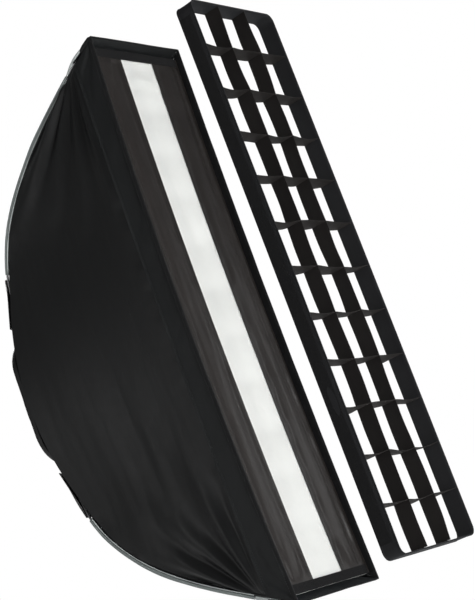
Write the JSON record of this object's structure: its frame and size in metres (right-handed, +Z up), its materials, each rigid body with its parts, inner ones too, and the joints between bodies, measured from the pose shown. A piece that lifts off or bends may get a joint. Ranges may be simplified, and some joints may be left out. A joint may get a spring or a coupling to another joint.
{
  "type": "strip softbox",
  "caption": "Tall narrow softbox on a bayonet speedring, with a masked strip front and a pull-off egg-crate grid.",
  "frame": {"origin": "on the bore axis, at the rear face of the bayonet insert's flange", "axes": "+Z up along the strip, +Y to the rear, towards the flash head; light leaves along -Y"},
  "size_m": [0.233, 0.592, 0.9196],
  "materials": {
    "insert_metal": "satin",
    "ring_paint": "satin",
    "screw_steel": "satin",
    "knob_plastic": "matte",
    "spring_steel": "satin",
    "rod_channel": "woven, slightly shiny",
    "black_nylon": "matte woven nylon",
    "rim_nylon": "matte woven nylon",
    "silver_lining": "metallic coated",
    "white_diffuser": "translucent white nylon",
    "mask_nylon": "coated, slightly glossy",
    "velcro": "hook and loop",
    "elastic": "ribbed elastic",
    "snap_metal": "polished",
    "grid_band_cloth": "matte woven nylon",
    "grid_strip_cloth": "thin woven nylon"
  },
  "bodies": {
    "insert": {"bayonet_insert": "insert_metal", "insert_retainer": "insert_metal", "retainer_screws": "screw_steel"},
    "softbox": {"baffle_snaps": "snap_metal", "baffle_tabs": "elastic", "bottom_lining": "silver_lining", "bottom_panel": "black_nylon", "corner_pocket_bl": "black_nylon", "corner_pocket_br": "black_nylon", "corner_pocket_tl": "black_nylon", "corner_pocket_tr": "black_nylon", "diffuser_hems": "velcro", "front_diffuser": "white_diffuser", "inner_baffle": "white_diffuser", "left_lining": "silver_lining", "left_panel": "black_nylon", "rear_collar": "black_nylon", "right_lining": "silver_lining", "right_panel": "black_nylon", "rim_binding": "rim_nylon", "rim_bottom": "rim_nylon", "rim_left": "rim_nylon", "rim_right": "rim_nylon", "rim_top": "rim_nylon", "rim_velcro": "velcro", "rod_bl": "spring_steel", "rod_br": "spring_steel", "rod_caps": "knob_plastic", "rod_sleeve_bl": "rod_channel", "rod_sleeve_br": "rod_channel", "rod_sleeve_tl": "rod_channel", "rod_sleeve_tr": "rod_channel", "rod_socket_bl": "ring_paint", "rod_socket_br": "ring_paint", "rod_socket_tl": "ring_paint", "rod_socket_tr": "ring_paint", "rod_tl": "spring_steel", "rod_tr": "spring_steel", "socket_screws": "screw_steel", "speedring": "ring_paint", "strip_mask_left": "mask_nylon", "strip_mask_right": "mask_nylon", "top_lining": "silver_lining", "top_panel": "black_nylon"},
    "thumbscrew": {"thumbscrew_stud": "screw_steel", "thumbscrew_knob": "knob_plastic"},
    "grid": {"grid_band_bottom": "grid_band_cloth", "grid_band_left": "grid_band_cloth", "grid_band_right": "grid_band_cloth", "grid_band_top": "grid_band_cloth", "grid_cross_strips": "grid_strip_cloth", "grid_long_strip_left": "grid_strip_cloth", "grid_long_strip_right": "grid_strip_cloth", "grid_velcro": "velcro"},
    "flap_tl": {"slit_flap_tl": "black_nylon"},
    "flap_tr": {"slit_flap_tr": "black_nylon"},
    "flap_bl": {"slit_flap_bl": "black_nylon"},
    "flap_br": {"slit_flap_br": "black_nylon"}
  },
  "joints": [
    {"name": "softbox_turn", "type": "hinge", "parent": "insert", "child": "softbox", "pos_m": [0, 0, 0], "axis": [0, 1, 0], "continuous": true},
    {"name": "thumbscrew_turn", "type": "hinge", "parent": "softbox", "child": "thumbscrew", "pos_m": [0.095, -0.008, 0], "axis": [1, 0, 0], "range_deg": [0, 540]},
    {"name": "slit_flap_tl_lift", "type": "hinge", "parent": "softbox", "child": "flap_tl", "pos_m": [-0.08149, -0.02066, 0.124], "axis": [0.1589, -0.1806, 0.9706], "range_deg": [0, 100]},
    {"name": "slit_flap_tr_lift", "type": "hinge", "parent": "softbox", "child": "flap_tr", "pos_m": [0.08149, -0.02066, 0.124], "axis": [0.1589, 0.1806, -0.9706], "range_deg": [0, 100]},
    {"name": "slit_flap_bl_lift", "type": "hinge", "parent": "softbox", "child": "flap_bl", "pos_m": [-0.08149, -0.02066, -0.124], "axis": [-0.1589, 0.1806, 0.9706], "range_deg": [0, 100]},
    {"name": "slit_flap_br_lift", "type": "hinge", "parent": "softbox", "child": "flap_br", "pos_m": [0.08149, -0.02066, -0.124], "axis": [-0.1589, -0.1806, -0.9706], "range_deg": [0, 100]},
    {"name": "grid_slide", "type": "slide", "parent": "softbox", "child": "grid", "axis": [0, 0.9948, 0.1017], "range_m": [0, 0.16717]}
  ]
}
